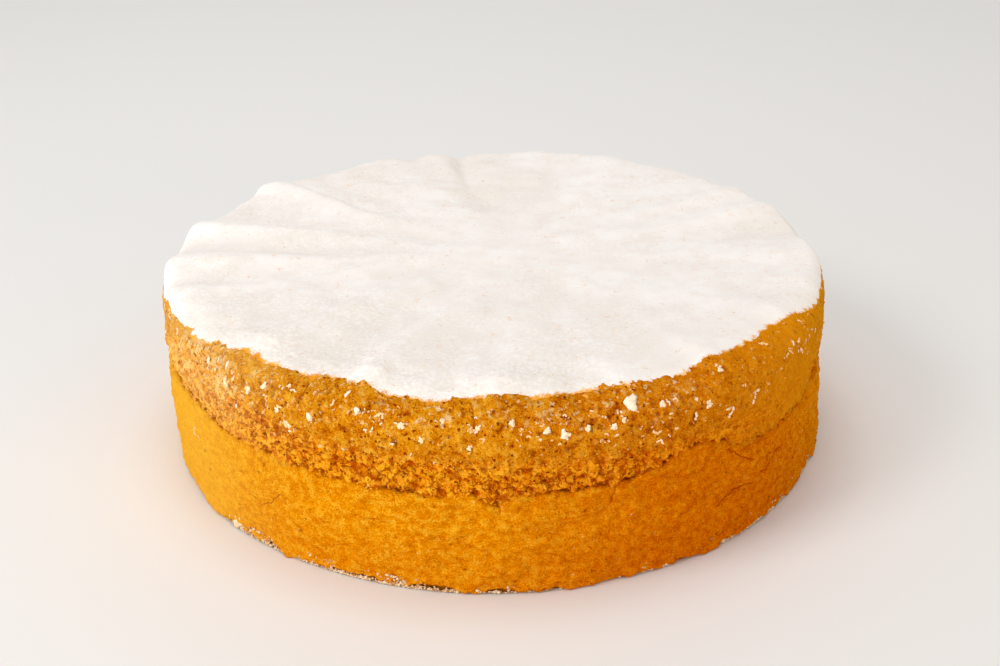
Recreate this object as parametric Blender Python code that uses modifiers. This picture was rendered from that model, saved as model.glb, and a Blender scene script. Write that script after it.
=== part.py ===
"""Margherita sponge cake: a tall round sponge with folds on its top, under a coat of icing sugar.

Metres, +Z up. The cake stands on the plane z = 0 with the middle of its base at the origin, and its
front is towards -Y. Run with: blender --background --python part.py
"""

import math

import bmesh
import bpy
import numpy as np

MM = 0.001

# Driving sizes
CAKE_RADIUS = 128.6 * MM
CAKE_HEIGHT = 70.2 * MM  # the level part of the top, without folds or sugar
SHOULDER_WIDTH = 15.0 * MM  # the rounded edge of the top, measured inwards
SHOULDER_DROP = 11.7 * MM  # and downwards
# its section is a superellipse: an ellipse at 2, and squarer where these bearings add to that
# (bearing and spread in degrees, and what is added)
SQUARER = ((-170, 24, 2.4), (4, 28, 2.0))
FOOT_BEVEL = 0.8 * MM
COLUMNS = 120  # round the cake

# The side: a smooth skin below, and open crumb above it, from which the skin has come away
LEDGE_HEIGHT = 38.5 * MM  # where the skin ends
LEDGE_BLEND = 1.0 * MM  # height of the step at the skin's edge
SKIN_THICKNESS = 0.9 * MM
LOWER_BELLY = (18 * MM, 14 * MM, 0.5 * MM)  # height, spread and depth of a swelling
UPPER_BELLY = (53 * MM, 9 * MM, 1.3 * MM)
CRUMB_HOLLOW = (43 * MM, 3.2 * MM, -0.7 * MM)
CRUMB_DEPTH = 1.1 * MM  # coarse lumps of the open crumb
CRUMB_LUMP = 7.0 * MM

# The top: folds run out from a point near its middle
FOLD_CENTRE = (8.0 * MM, -3.0 * MM)
FOLD_START = 8.0 * MM  # distances from that point over which a fold rises to its full height
FOLD_FULL = 112.0 * MM
FOLD_BEND = 0.09  # radians by which a fold wanders off its bearing, less and less towards the rim
FOLD_BEND_LENGTH = 19.0 * MM
TOP_DIP = 1.6 * MM
# bearing in degrees, and height and half-width at the rim in millimetres: ridges, and valleys below 0
FOLDS = (
    (-164, 1.6, 5), (-140, 1.6, 5), (-128, -1.0, 5), (-116, 2.2, 6), (-103, -0.8, 5), (-94, 1.0, 5),
    (-81, -0.9, 5), (-72, 1.0, 6), (-54, 1.5, 7), (-33, 1.5, 7), (-16, 0.8, 7), (-3, 1.4, 8),
    (10, -1.8, 8), (22, 2.2, 8), (33, 2.5, 7), (43, 0.8, 8), (54, 0.8, 8), (66, 1.8, 8), (79, -0.8, 7),
    (91, -0.3, 6), (101, -3.8, 7), (111, -2.0, 7), (122, 0.4, 8), (134, -1.1, 6), (145, 3.6, 6),
    (157, -0.6, 7), (168, 4.7, 9), (183, 3.7, 9),
)  # fmt: skip

# The icing sugar
SUGAR_GAP = 0.35 * MM  # meshes that touch keep this much air
SUGAR_THICKNESS = 0.9 * MM
SUGAR_EDGE_SHARE = 0.35  # thickness at its edge, as a share
SUGAR_REACH = 118.2 * MM  # from the middle of the top, along the surface, to the edge at the front
SUGAR_REACH_MORE = 12.0 * MM  # how much further down the shoulder it comes at the sides and the back
SUGAR_REACH_MOST = 132.0 * MM
SUGAR_FRONT = math.radians(-86)
SUGAR_TURNS = (math.radians(45), math.radians(85))  # from the front, between which it comes further down


# ---------- form of the cake ----------


def bump(value, middle, spread):
    """A smooth hill of height 1, one at middle and near nothing beyond two spreads."""
    return np.exp(-(((value - middle) / spread) ** 2))


def smooth_step(low, high, value):
    """0 below low, 1 above high, and an S-curve between."""
    t = np.clip((value - low) / (high - low), 0, 1)
    return t * t * (3 - 2 * t)


def turn_between(bearing, other):
    """Smallest turn from other to bearing, in radians, signed."""
    return (bearing - other + math.pi) % (2 * math.pi) - math.pi


def ledge_height(bearing):
    """Height of the skin's upper edge: a slow wave, one rise to the right of the front and one nick."""
    wave = 1.6 * np.sin(2 * bearing + 0.6) + 1.0 * np.sin(5 * bearing + 2.0) + 0.6 * np.sin(11 * bearing)
    rise = 7.0 * bump(turn_between(bearing, math.radians(-58)), 0, math.radians(9))
    nick = -3.5 * bump(turn_between(bearing, math.radians(-91)), 0, math.radians(1.8))
    return LEDGE_HEIGHT + (wave + rise + nick) * MM


def out_of_round(bearing, height):
    """How far the side swells past its plain profile: slow waves, a fuller left side and a splayed foot."""
    waves = (
        0.35 * np.cos(2 * bearing + 1.9)
        + 0.3 * np.cos(3 * bearing + 1.1 + 9 * height)
        + 0.2 * np.cos(5 * bearing + 2.0)
        + 0.2 * np.cos(8 * bearing + 0.5 - 22 * height)
    )
    left_turn = turn_between(bearing, math.radians(-170))
    foot_turn = turn_between(bearing, math.radians(-11))
    left = 1.0 * bump(left_turn, 0, math.radians(26)) * bump(height, 0.038, 0.017)
    foot = 2.6 * bump(foot_turn, 0, math.radians(10)) * bump(height, 0.003, 0.008)
    return (waves + left + foot) * MM


def folds(x, y):
    """Lift of the top's folds at a point: ridges that wander, widen and grow on their way out."""
    dx, dy = x - FOLD_CENTRE[0], y - FOLD_CENTRE[1]
    out = np.hypot(dx, dy)
    bearing = np.arctan2(dy, dx)
    wander = FOLD_BEND * (1 - np.clip(out / CAKE_RADIUS, 0, 1))
    lift = np.zeros_like(out)
    for degrees, height, width in FOLDS:
        bent = bearing + wander * np.sin(out / FOLD_BEND_LENGTH + degrees)
        across = turn_between(bent, math.radians(degrees)) * np.maximum(out, FOLD_START)
        spread = width * MM * (0.5 + 0.5 * out / CAKE_RADIUS)
        lift += height * MM * np.exp(-((across / spread) ** 2))
    return lift * smooth_step(FOLD_START, FOLD_FULL, out)


def dip(x, y):
    """The top sinks a little towards its middle."""
    return -TOP_DIP * (1 - smooth_step(0, FOLD_FULL, np.hypot(x, y)))


def shoulder_share(z):
    """1 on the top and 0 from the foot of the shoulder down: how much of the folds' lift a point takes."""
    return smooth_step(CAKE_HEIGHT - SHOULDER_DROP - 4 * MM, CAKE_HEIGHT - 0.25 * SHOULDER_DROP, z)


# ---------- outline that is turned ----------

CREST = CAKE_RADIUS + 0.9 * MM - SHOULDER_WIDTH  # where the level top meets the shoulder
SHOULDER_ARC = (SHOULDER_WIDTH + SHOULDER_DROP) / 2  # its mean radius, so that along / arc is an angle
SHOULDER_LENGTH = SHOULDER_ARC * math.pi / 2


def shoulder_power(bearing):
    """Exponent of the shoulder's superellipse at a bearing."""
    power = np.full_like(bearing, 2.0)
    for degrees, spread, more in SQUARER:
        power += more * bump(turn_between(bearing, math.radians(degrees)), 0, math.radians(spread))
    return power


def top_point(along, bearing, lift=0.0):
    """Radius and height at a distance along the surface from the middle of the top, lifted off it."""
    angle = np.clip((along - CREST) / SHOULDER_ARC, 0, math.pi / 2)
    power = shoulder_power(bearing)
    outward, upward = np.sin(angle), np.cos(angle)
    normal_out = outward ** (2 - 2 / power) / SHOULDER_WIDTH
    normal_up = upward ** (2 - 2 / power) / SHOULDER_DROP
    length = np.hypot(normal_out, normal_up)
    radius = np.minimum(along, CREST) + SHOULDER_WIDTH * outward ** (2 / power) + lift * normal_out / length
    height = CAKE_HEIGHT - SHOULDER_DROP * (1 - upward ** (2 / power)) + lift * normal_up / length
    return radius, height


def place(radius, bearing, height):
    """x, y and z of a point of the plain form, once the form is out of round and its top folded."""
    swollen = radius + out_of_round(bearing, height) * smooth_step(0.5 * CREST, CREST, radius)
    x, y = swollen * np.cos(bearing), swollen * np.sin(bearing)
    return x, y, height + (folds(x, y) + dip(x, y)) * shoulder_share(height)


def side_radius(height):
    """Plain radius of the crumb at a height, without the skin over its lower part."""
    radius = CAKE_RADIUS
    for middle, spread, depth in (LOWER_BELLY, UPPER_BELLY, CRUMB_HOLLOW):
        radius = radius + depth * bump(height, middle, spread)
    return radius


def cake_outline():
    """(radius, height) pairs from the middle of the top, out, down the side and in to the base's middle.

    Over the top and the shoulder the radius is the distance along the surface, at the top's height, and
    shape_sponge bends these rings down.
    """
    outline = [(float(s), CAKE_HEIGHT) for s in np.linspace(0, CREST, 9)]
    outline += [(float(s), CAKE_HEIGHT) for s in CREST + np.linspace(0, SHOULDER_LENGTH, 6)[1:]]
    blend = LEDGE_BLEND / 2
    above = np.linspace(CAKE_HEIGHT - SHOULDER_DROP, LEDGE_HEIGHT + blend, 5)[1:]
    below = np.linspace(LEDGE_HEIGHT - blend, 3 * MM, 7)
    outline += [(float(side_radius(z)), float(z)) for z in above]
    outline += [(float(side_radius(z)) + SKIN_THICKNESS, float(z)) for z in below]
    foot = float(side_radius(0)) + SKIN_THICKNESS
    outline += [(foot, FOOT_BEVEL), (foot - FOOT_BEVEL, 0.0), (0.6 * foot, 0.0), (0.0, 0.0)]
    return outline


# ---------- Blender helpers ----------


def clear_scene():
    for obj in list(bpy.data.objects):
        bpy.data.objects.remove(obj)


def make_material(name, colour, roughness):
    material = bpy.data.materials.new(name)
    material.use_nodes = True
    shader = material.node_tree.nodes["Principled BSDF"]
    shader.inputs["Base Color"].default_value = (*colour, 1.0)
    shader.inputs["Roughness"].default_value = roughness
    shader.inputs["Metallic"].default_value = 0.0
    return material


def turned_mesh(name, outline):
    """A mesh turned from an outline round Z with the Screw modifier, which is applied."""
    profile = bpy.data.meshes.new(name + "_profile")
    points = [(radius, 0.0, height) for radius, height in outline]
    profile.from_pydata(points, [(i, i + 1) for i in range(len(points) - 1)], [])
    lathe = bpy.data.objects.new(name + "_lathe", profile)
    bpy.context.scene.collection.objects.link(lathe)
    screw = lathe.modifiers.new("Turn", "SCREW")
    screw.steps = screw.render_steps = COLUMNS
    screw.use_merge_vertices = True
    screw.merge_threshold = 0.00001
    screw.use_smooth_shade = True
    graph = bpy.context.evaluated_depsgraph_get()
    mesh = bpy.data.meshes.new_from_object(lathe.evaluated_get(graph))
    mesh.name = name
    bpy.data.objects.remove(lathe)
    bpy.data.meshes.remove(profile)
    return mesh


def read_points(mesh):
    points = np.empty(len(mesh.vertices) * 3)
    mesh.vertices.foreach_get("co", points)
    return points.reshape(-1, 3)


def write_points(mesh, points):
    mesh.vertices.foreach_set("co", points.ravel())
    mesh.update()


def add_object(name, mesh, material, collection):
    obj = bpy.data.objects.new(name, mesh)
    mesh.materials.clear()
    mesh.materials.append(material)
    collection.objects.link(obj)
    return obj


# ---------- sponge ----------


def shape_sponge(mesh):
    """Moves the turned mesh: the shoulder bent down, folds on the top, an uneven side and skin's edge."""
    points = read_points(mesh)
    radius = np.hypot(points[:, 0], points[:, 1])
    bearing = np.arctan2(points[:, 1], points[:, 0])
    height = points[:, 2]
    # rows near the ledge go up and down with it, and the ones at the foot and the shoulder stay
    shoulder_foot = CAKE_HEIGHT - SHOULDER_DROP
    from_foot = np.clip(height / LEDGE_HEIGHT, 0, 1)
    to_shoulder = np.clip((shoulder_foot - height) / (shoulder_foot - LEDGE_HEIGHT), 0, 1)
    side_height = height + (ledge_height(bearing) - LEDGE_HEIGHT) * np.minimum(from_foot, to_shoulder)
    on_top = height > CAKE_HEIGHT - 0.01 * MM
    top_radius, top_height = top_point(radius, bearing)
    radius, height = np.where(on_top, top_radius, radius), np.where(on_top, top_height, side_height)
    write_points(mesh, np.stack(place(radius, bearing, height), axis=1))


def add_crumb(obj):
    """Coarse lumps on the open crumb, from a cloud texture, fading out at the skin and the shoulder."""
    points = read_points(obj.data)
    height = points[:, 2]
    bearing = np.arctan2(points[:, 1], points[:, 0])
    bare = smooth_step(-1 * MM, 2 * MM, height - ledge_height(bearing))
    shoulder_foot = CAKE_HEIGHT - SHOULDER_DROP
    below_shoulder = 1 - smooth_step(shoulder_foot - 3 * MM, shoulder_foot + 0.2 * SHOULDER_DROP, height)
    group = obj.vertex_groups.new(name="open_crumb")
    for index, weight in enumerate(bare * below_shoulder):
        group.add([index], float(weight), "REPLACE")
    clouds = bpy.data.textures.new("crumb_lumps", "CLOUDS")
    clouds.noise_scale = CRUMB_LUMP
    clouds.noise_depth = 1
    displace = obj.modifiers.new("Crumb", "DISPLACE")
    displace.texture = clouds
    displace.texture_coords = "LOCAL"
    displace.vertex_group = group.name
    displace.strength = CRUMB_DEPTH
    displace.mid_level = 0.5


def make_sponge(collection):
    mesh = turned_mesh("sponge", cake_outline())
    shape_sponge(mesh)
    crust = make_material("crust", (0.62, 0.24, 0.03), 0.85)
    sponge = add_object("sponge", mesh, crust, collection)
    add_crumb(sponge)
    return sponge


# ---------- icing sugar ----------


def sugar_reach(bearing):
    """Distance along the surface from the middle of the top to the sugar's edge: least at the front."""
    turn = np.abs(turn_between(bearing, SUGAR_FRONT))
    wave = 1.3 * np.sin(9 * bearing - 1.26) + 0.5 * np.sin(17 * bearing + 1.7)
    return SUGAR_REACH + SUGAR_REACH_MORE * smooth_step(*SUGAR_TURNS, turn) + wave * MM


def make_icing_sugar(collection):
    """A thin coat over the top and part of the shoulder: its underside is turned, then given thickness."""
    level = np.linspace(0, CREST, 9)
    shoulder = CREST + np.linspace(0, 1, 6)[1:] * (SUGAR_REACH_MOST - CREST)
    rings = np.concatenate([level, shoulder])
    mesh = turned_mesh("icing_sugar", [(float(s), 0.0) for s in rings])
    points = read_points(mesh)
    bearing = np.arctan2(points[:, 1], points[:, 0])
    along = np.hypot(points[:, 0], points[:, 1])
    on_shoulder = np.clip((along - CREST) / (SUGAR_REACH_MOST - CREST), 0, 1)
    along = np.where(along > CREST, CREST + on_shoulder * (sugar_reach(bearing) - CREST), along)
    radius, height = top_point(along, bearing, SUGAR_GAP)
    write_points(mesh, np.stack(place(radius, bearing, height), axis=1))

    powder = make_material("icing_sugar", (0.9, 0.86, 0.82), 0.95)
    sugar = add_object("icing_sugar", mesh, powder, collection)
    group = sugar.vertex_groups.new(name="full_thickness")
    for index, share in enumerate(1 - on_shoulder):
        group.add([index], float(share), "REPLACE")
    coat = sugar.modifiers.new("Coat", "SOLIDIFY")
    coat.thickness = SUGAR_THICKNESS
    coat.offset = 1.0
    coat.vertex_group = group.name
    coat.thickness_vertex_group = SUGAR_EDGE_SHARE
    return sugar


def face_outwards(mesh):
    bm = bmesh.new()
    bm.from_mesh(mesh)
    bmesh.ops.recalc_face_normals(bm, faces=bm.faces)
    bm.to_mesh(mesh)
    bm.free()


def main():
    clear_scene()
    cake = bpy.data.collections.new("margherita_sponge_cake")
    bpy.context.scene.collection.children.link(cake)
    sponge = make_sponge(cake)
    face_outwards(sponge.data)
    make_icing_sugar(cake)


main()
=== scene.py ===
"""Looks of the margherita sponge cake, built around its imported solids.

Metres, +Z up, front towards -Y. Bearings turn from +X, so the front is at -90 degrees.
"""

import math

import bpy
import numpy as np
from mathutils import Matrix, Vector


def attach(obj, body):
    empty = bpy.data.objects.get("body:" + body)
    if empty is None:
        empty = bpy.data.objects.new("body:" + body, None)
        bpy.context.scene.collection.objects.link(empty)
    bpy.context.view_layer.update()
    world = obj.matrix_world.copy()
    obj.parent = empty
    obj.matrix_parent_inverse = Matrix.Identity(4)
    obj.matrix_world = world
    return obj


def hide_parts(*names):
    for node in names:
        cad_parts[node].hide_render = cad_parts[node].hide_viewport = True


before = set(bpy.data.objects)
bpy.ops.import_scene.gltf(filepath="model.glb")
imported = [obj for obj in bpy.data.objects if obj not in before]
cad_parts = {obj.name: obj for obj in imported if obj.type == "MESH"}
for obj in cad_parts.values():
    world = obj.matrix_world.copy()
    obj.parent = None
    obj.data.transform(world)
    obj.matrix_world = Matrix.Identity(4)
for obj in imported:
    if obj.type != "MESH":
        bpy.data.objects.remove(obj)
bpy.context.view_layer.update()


# -------------------- the sponge
# The cake itself: eggs, sugar and flour whisked to a foam and baked in a tall round tin. Its upper side is
# open brown crumb, pitted by the foam's bubbles, because the skin stuck to the tin's lining there. The top
# rose and sank back into folds, which run out from near its middle over the rounded edge.

MM = 0.001
draw = np.random.default_rng(26)

CAKE_RADIUS = 128.6 * MM
CAKE_HEIGHT = 70.2 * MM  # the level part of the top, without folds or sugar
SHOULDER_WIDTH = 15.0 * MM  # the rounded edge of the top, measured inwards
SHOULDER_DROP = 11.7 * MM  # and downwards
# its section is an ellipse, and squarer near these bearings: bearing and spread in degrees, added exponent
SQUARER = ((-170, 24, 2.4), (4, 28, 2.0))
CREST = CAKE_RADIUS + 0.9 * MM - SHOULDER_WIDTH  # where the level top meets the shoulder
SHOULDER_FOOT = CAKE_HEIGHT - SHOULDER_DROP
SHOULDER_ARC = (SHOULDER_WIDTH + SHOULDER_DROP) / 2
SIDE_START = CREST + SHOULDER_ARC * math.pi / 2  # distances along the surface from the middle of the top
BASE_START = SIDE_START + SHOULDER_FOOT

LEDGE_HEIGHT = 38.5 * MM  # where the skin of the lower side ends
LOWER_BELLY = (18 * MM, 14 * MM, 0.5 * MM)  # height, spread and depth of a swelling
UPPER_BELLY = (53 * MM, 9 * MM, 1.3 * MM)
CRUMB_HOLLOW = (43 * MM, 3.2 * MM, -0.7 * MM)

FOLD_CENTRE = (8.0 * MM, -3.0 * MM)
FOLD_START = 8.0 * MM  # distances from that point over which a fold rises to its full height
FOLD_FULL = 112.0 * MM
FOLD_BEND = 0.09  # radians by which a fold wanders off its bearing, less and less towards the rim
FOLD_BEND_LENGTH = 19.0 * MM
TOP_DIP = 1.6 * MM
# bearing in degrees, and height and half-width at the rim in millimetres: ridges, and valleys below 0
FOLDS = (
    (-164, 1.6, 5), (-140, 1.6, 5), (-128, -1.0, 5), (-116, 2.2, 6), (-103, -0.8, 5), (-94, 1.0, 5),
    (-81, -0.9, 5), (-72, 1.0, 6), (-54, 1.5, 7), (-33, 1.5, 7), (-16, 0.8, 7), (-3, 1.4, 8),
    (10, -1.8, 8), (22, 2.2, 8), (33, 2.5, 7), (43, 0.8, 8), (54, 0.8, 8), (66, 1.8, 8), (79, -0.8, 7),
    (91, -0.3, 6), (101, -3.8, 7), (111, -2.0, 7), (122, 0.4, 8), (134, -1.1, 6), (145, 3.6, 6),
    (157, -0.6, 7), (168, 4.7, 9), (183, 3.7, 9),
)  # fmt: skip


def bump(value, middle, spread):
    """A smooth hill: e to the minus square of the distance from its middle, counted in spreads."""
    return np.exp(-(((value - middle) / spread) ** 2))


def smooth_step(low, high, value):
    """0 below low, 1 above high, and 3t^2 - 2t^3 between."""
    t = np.clip((value - low) / (high - low), 0, 1)
    return t * t * (3 - 2 * t)


def turn_from(degrees, bearing):
    """Signed turn in radians from a bearing in degrees to each bearing, between minus and plus pi."""
    return (bearing - math.radians(degrees) + math.pi) % (2 * math.pi) - math.pi


def near(degrees, spread, bearing):
    """A hill round one bearing, its spread in degrees."""
    return bump(turn_from(degrees, bearing), 0, math.radians(spread))


def ledge_height(bearing):
    """Height of the skin's edge: three waves round the cake, one rise right of the front and one nick."""
    waves = 1.6 * np.sin(2 * bearing + 0.6) + 1.0 * np.sin(5 * bearing + 2.0) + 0.6 * np.sin(11 * bearing)
    return LEDGE_HEIGHT + (waves + 7.0 * near(-58, 9, bearing) - 3.5 * near(-91, 1.8, bearing)) * MM


def out_of_round(bearing, height):
    """How far the side swells past its plain profile: slow waves, a fuller left side and a splayed foot."""
    waves = (
        0.35 * np.cos(2 * bearing + 1.9)
        + 0.3 * np.cos(3 * bearing + 1.1 + 9 * height)
        + 0.2 * np.cos(5 * bearing + 2.0)
        + 0.2 * np.cos(8 * bearing + 0.5 - 22 * height)
    )
    left = 1.0 * near(-170, 26, bearing) * bump(height, 0.038, 0.017)
    foot = 2.6 * near(-11, 10, bearing) * bump(height, 0.003, 0.008)
    return (waves + left + foot) * MM


def folded(x, y):
    """Lift of the top: the sum of ridges that wander, widen and grow on their way out to the rim."""
    dx, dy = x - FOLD_CENTRE[0], y - FOLD_CENTRE[1]
    out = np.hypot(dx, dy)
    bearing = np.arctan2(dy, dx)
    wander = FOLD_BEND * (1 - np.clip(out / CAKE_RADIUS, 0, 1))
    lift = np.zeros_like(out)
    for degrees, height, width in FOLDS:
        bent = bearing + wander * np.sin(out / FOLD_BEND_LENGTH + degrees)
        across = turn_from(degrees, bent) * np.maximum(out, FOLD_START)
        lift += height * MM * bump(across, 0, width * MM * (0.5 + 0.5 * out / CAKE_RADIUS))
    return lift * smooth_step(FOLD_START, FOLD_FULL, out)


def side_radius(height):
    """Radius of the bare crumb at a height: plain, plus two swellings and one hollow."""
    return CAKE_RADIUS + sum(depth * bump(height, middle, spread) for middle, spread, depth in
                             (LOWER_BELLY, UPPER_BELLY, CRUMB_HOLLOW))  # fmt: skip


def place(radius, bearing, height):
    """Points of the plain turned form once it is out of round and its top is folded and sunk."""
    swollen = radius + out_of_round(bearing, height) * smooth_step(0.5 * CREST, CREST, radius)
    x, y = swollen * np.cos(bearing), swollen * np.sin(bearing)
    lift = folded(x, y) - TOP_DIP * (1 - smooth_step(0, FOLD_FULL, np.hypot(x, y)))
    share = smooth_step(SHOULDER_FOOT - 4 * MM, CAKE_HEIGHT - 0.25 * SHOULDER_DROP, height)
    return np.stack([x, y, height + lift * share], axis=-1)


def sponge_point(along, bearing):
    """The sponge's plain surface, by the distance along it from the middle of the top.

    The level top, then a superellipse (sine and cosine to the power of 2 over its exponent), then the side
    straight down, then the base back in to the middle.
    """
    power = 2.0 + sum(more * near(degrees, spread, bearing) for degrees, spread, more in SQUARER)
    angle = np.clip((along - CREST) / SHOULDER_ARC, 0, math.pi / 2)
    top_radius = np.minimum(along, CREST) + SHOULDER_WIDTH * np.sin(angle) ** (2 / power)
    top_height = CAKE_HEIGHT - SHOULDER_DROP * (1 - np.cos(angle) ** (2 / power))
    side_height = np.maximum(SHOULDER_FOOT - (along - SIDE_START), 0)
    low_radius = side_radius(side_height) - np.maximum(along - BASE_START, 0)
    on_top = along < SIDE_START
    radius = np.where(on_top, top_radius, low_radius)
    return place(radius, bearing, np.where(on_top, top_height, side_height))


def with_normals(surface, along, bearing):
    """Points of a surface and its outward normals, the cross product of small steps both ways."""
    step = 0.05 * MM
    down = surface(along + step, bearing) - surface(along - step, bearing)
    turn = step / CAKE_RADIUS
    around = surface(along, bearing + turn) - surface(along, bearing - turn)
    normal = np.cross(down, around)
    return surface(along, bearing), normal / np.linalg.norm(normal, axis=-1, keepdims=True)


def cell_random(cells, seed):
    """A repeatable number from 0 to 1 for each whole-number cell, its three coordinates hashed together."""
    mask = 0xFFFFFFFF
    mixed = (cells[..., 0] * 73856093) ^ (cells[..., 1] * 19349663) ^ (cells[..., 2] * 83492791)
    mixed = (mixed ^ (seed * 40503)) & mask
    for factor in (0x45D9F3B, 0x119DE1F3):
        mixed = ((mixed ^ (mixed >> 16)) * factor) & mask
    return (mixed ^ (mixed >> 16)) / mask


def clouds(points, size, seed):
    """Smooth noise from -1 to 1: random numbers at the corners of cells, blended between by 3t^2 - 2t^3."""
    scaled = points / size
    corner = np.floor(scaled).astype(np.int64)
    part = scaled - corner
    part = part * part * (3 - 2 * part)
    total = 0.0
    for shift in np.ndindex(2, 2, 2):
        weight = np.prod(np.where(shift, part, 1 - part), axis=-1)
        total = total + weight * cell_random(corner + np.array(shift), seed)
    return 2 * total - 1


def nearest_seeds(points, size, seed):
    """For each of the 27 cells round a point, the distance to the cell's random seed point and its draw."""
    scaled = points / size
    cell = np.floor(scaled).astype(np.int64)
    for shift in np.ndindex(3, 3, 3):
        there = cell + np.array(shift) - 1
        spot = there + np.stack([cell_random(there, seed + k) for k in range(3)], axis=-1)
        yield np.linalg.norm(scaled - spot, axis=-1) * size, cell_random(there, seed + 3)


def grains(points, size, seed):
    """Rounded grains, 0 in the creases and 1 on top: one less the nearest seed's distance over the size."""
    closest = np.minimum.reduce([distance for distance, _ in nearest_seeds(points, size, seed)])
    return 1 - np.clip(closest / size, 0, 1)


def bubbles(points, size, share, small, large, seed):
    """Depth of round pits: only a share of the seeds has one, of a drawn radius, with a round bottom."""
    depth = np.zeros(points.shape[:-1])
    for distance, luck in nearest_seeds(points, size, seed):
        radius = small + (large - small) * (luck / share) ** 2
        pit = radius * np.sqrt(np.clip(1 - (distance / radius) ** 2, 0, None))
        depth = np.maximum(depth, np.where(luck < share, pit, 0))
    return depth


def torn(points, size, seed):
    """Noise from about -1 to 1 for torn crumb: three sizes added, each 0.55 times the one before."""
    return (clouds(points, size, seed) + 0.65 * clouds(points, 0.55 * size, seed + 1)
            + 0.45 * clouds(points, 0.32 * size, seed + 2)) / 1.3  # fmt: skip


def open_crumb(bearing, height):
    """1 in the coarse crumb over the skin's edge, which reaches up to the shoulder left of the front."""
    reach = 49.0 + 17 * near(-146, 15, bearing) + 1.5 * np.sin(3 * bearing + 1)
    reach = reach + 5.0 * near(70, 40, bearing)
    low = smooth_step(-1.5 * MM, 1.0 * MM, height - ledge_height(bearing))
    return low * (1 - smooth_step((reach - 3) * MM, (reach + 6) * MM, height))


# single deep holes: bearing in degrees, height, radius and depth in millimetres
HOLES = (
    (-127.5, 60, 1.5, 1.6), (-121, 65, 1.0, 1.2), (-135, 64, 1.2, 1.2), (-104, 66, 0.8, 1.0),
    (-82, 66.5, 0.9, 1.1), (-78, 67.5, 0.8, 1.0), (-72, 65.5, 1.1, 1.2), (-66, 62, 0.8, 1.0),
    (-88, 58, 0.8, 1.0), (-58, 66, 0.9, 1.0), (-52, 68, 1.0, 1.1), (-112, 55, 0.8, 1.0),
    (-97, 61, 0.8, 0.9), (35, 60, 1.3, 1.3), (88, 62, 1.2, 1.3), (140, 63, 1.2, 1.2),
    (62, 57, 1.0, 1.1), (112, 55, 1.1, 1.2), (10, 62, 0.9, 1.0), (168, 60, 1.3, 1.3),
)  # fmt: skip
# cracks and creases: bearing in degrees and height in millimetres of both ends, and how strong it is
CRACKS = (
    (-135.5, 11, -130, 17.5, 0.4), (-130.5, 17.5, -124.5, 26, 1.0), (-119, 10, -109, 16, 0.4),
    (-112, 27.5, -106, 26, 0.5), (-106, 39, -105.3, 33, 0.5), (-91, 38, -90.2, 31, 0.9),
    (-85, 16, -75, 14, 0.35), (-73.6, 31, -72, 38, 0.7), (-99, 21, -94, 23, 0.35),
    (-55.5, 19, -46, 21, 1.0), (-46, 21, -35, 29, 0.8), (-53, 39, -46, 30, 0.8),
    (-46, 30, -41, 27, 0.5), (-52, 43, -35, 48, 0.8), (-64, 20, -59, 21, 0.35), (-33, 38, -26, 41, 0.5),
    (-68, 9, -60, 11, 0.3), (-121, 71, -120, 64, 0.9), (-93.6, 69, -93.2, 62.5, 0.8),
    (-59.6, 58.5, -59.4, 55, 0.9), (-104.6, 68, -104, 64, 0.7), (-74, 66, -73, 61, 0.6),
    (-111, 60, -110.6, 56, 0.6), (40, 20, 49, 24, 0.9), (88, 30, 95, 27, 0.7), (150, 17, 143, 22, 0.9),
    (10, 15, 17, 19, 0.5), (70, 66, 71, 60, 0.7), (120, 12, 128, 14, 0.4), (60, 44, 74, 47, 0.6),
    (170, 66, 171, 60, 0.7),
)  # fmt: skip


def crack_marks(bearing, height):
    """Signed distance in metres to the nearest crack's wavy line, and the crack's strength there."""
    around = np.stack([np.cos(bearing), np.sin(bearing), height / CAKE_RADIUS], axis=-1) * CAKE_RADIUS
    wobble = 1.4 * MM * clouds(around, 5 * MM, 51) + 0.5 * MM * clouds(around, 1.6 * MM, 53)
    nearest, strength = np.full_like(height, 4 * MM), np.zeros_like(height)
    for b0, z0, b1, z1, strong in CRACKS:
        right, up = turn_from(b0, bearing) * CAKE_RADIUS, height - z0 * MM
        run_right, run_up = math.radians(b1 - b0) * CAKE_RADIUS, (z1 - z0) * MM
        length = math.hypot(run_right, run_up)
        reach = (right * run_right + up * run_up) / length**2
        off = (right * run_up - up * run_right) / length + wobble
        share = strong * smooth_step(-0.03, 0.15, reach) * (1 - smooth_step(0.8, 1.03, reach))
        closer = (share > 0) & (np.abs(off) < np.abs(nearest))
        nearest, strength = np.where(closer, off, nearest), np.where(closer, share, strength)
    return nearest, strength


def crack_depth(bearing, height):
    """Depth of the cracks: a hill across each one's line."""
    off, strength = crack_marks(bearing, height)
    return 0.55 * MM * strength * bump(off, 0, 0.6 * MM)


def calmness(bearing):
    """1 where the crumb is rough and less right of the front, where it stayed smooth."""
    return 1 - 0.75 * near(-33, 22, bearing) - 0.25 * near(-5, 18, bearing)


def bearing_of(points):
    """Each point's bearing round the cake's axis."""
    return np.arctan2(points[..., 1], points[..., 0])


def distance_out(points):
    """Each point's distance from the cake's axis."""
    return np.hypot(points[..., 0], points[..., 1])


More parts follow.
